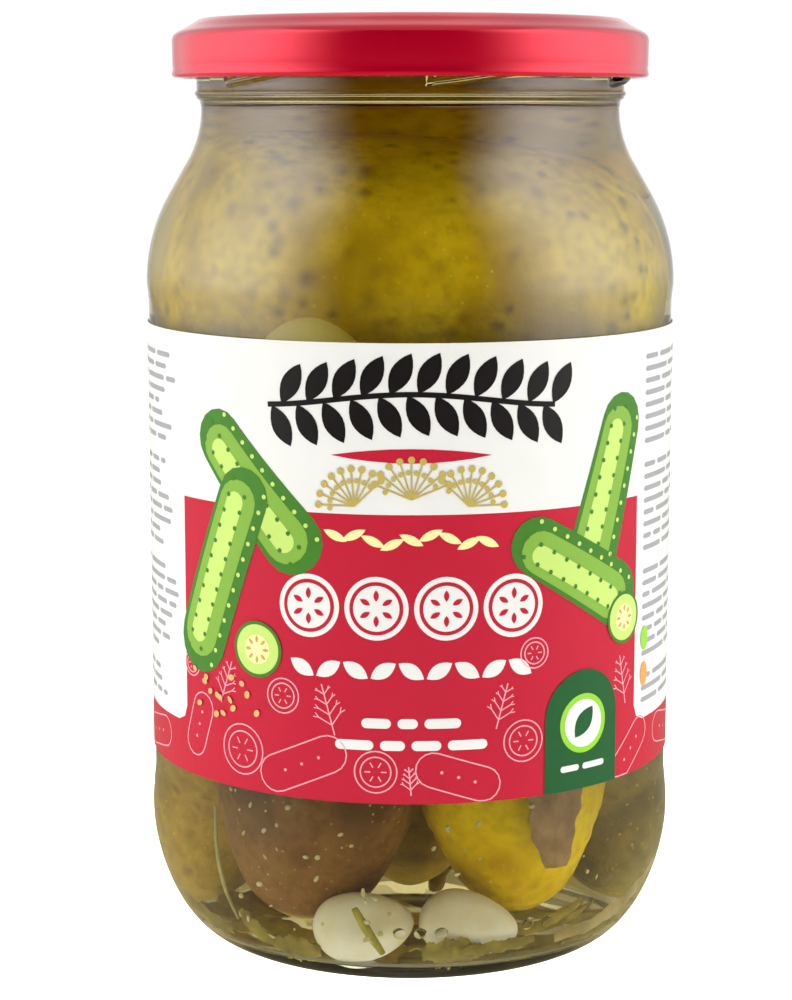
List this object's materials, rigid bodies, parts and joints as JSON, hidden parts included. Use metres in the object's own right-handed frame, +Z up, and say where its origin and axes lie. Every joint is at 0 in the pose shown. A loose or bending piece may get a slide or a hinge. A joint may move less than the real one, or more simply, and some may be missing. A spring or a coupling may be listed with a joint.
{
  "type": "pickle jar",
  "caption": "Shut round glass jar with a twist-off lid and a paper label, filled with pickled cucumbers, garlic, dill and a bay leaf.",
  "frame": {"origin": "middle of the base, on the surface that the jar stands on", "axes": "+Z up along the jar's axis, -Y out of the front of the label, +X to the right seen from the front"},
  "size_m": [0.0958, 0.0958, 0.1656],
  "materials": {
    "glass": "clear pressed glass",
    "lid_enamel": "gloss enamel on tinplate",
    "label_paper": "coated printed paper",
    "pickles": "wet warty skin",
    "garlic": "wet smooth flesh",
    "dill": "wet fibrous stalk",
    "leaf": "thin veined leaf"
  },
  "bodies": {
    "root": {"glass_jar": "glass", "lid": "lid_enamel", "label": "label_paper", "pickles": "pickles", "garlic_clove_1": "garlic", "garlic_clove_2": "garlic", "dill_stalk_1": "dill", "dill_stalk_2": "dill", "bay_leaf": "leaf"}
  },
  "joints": []
}
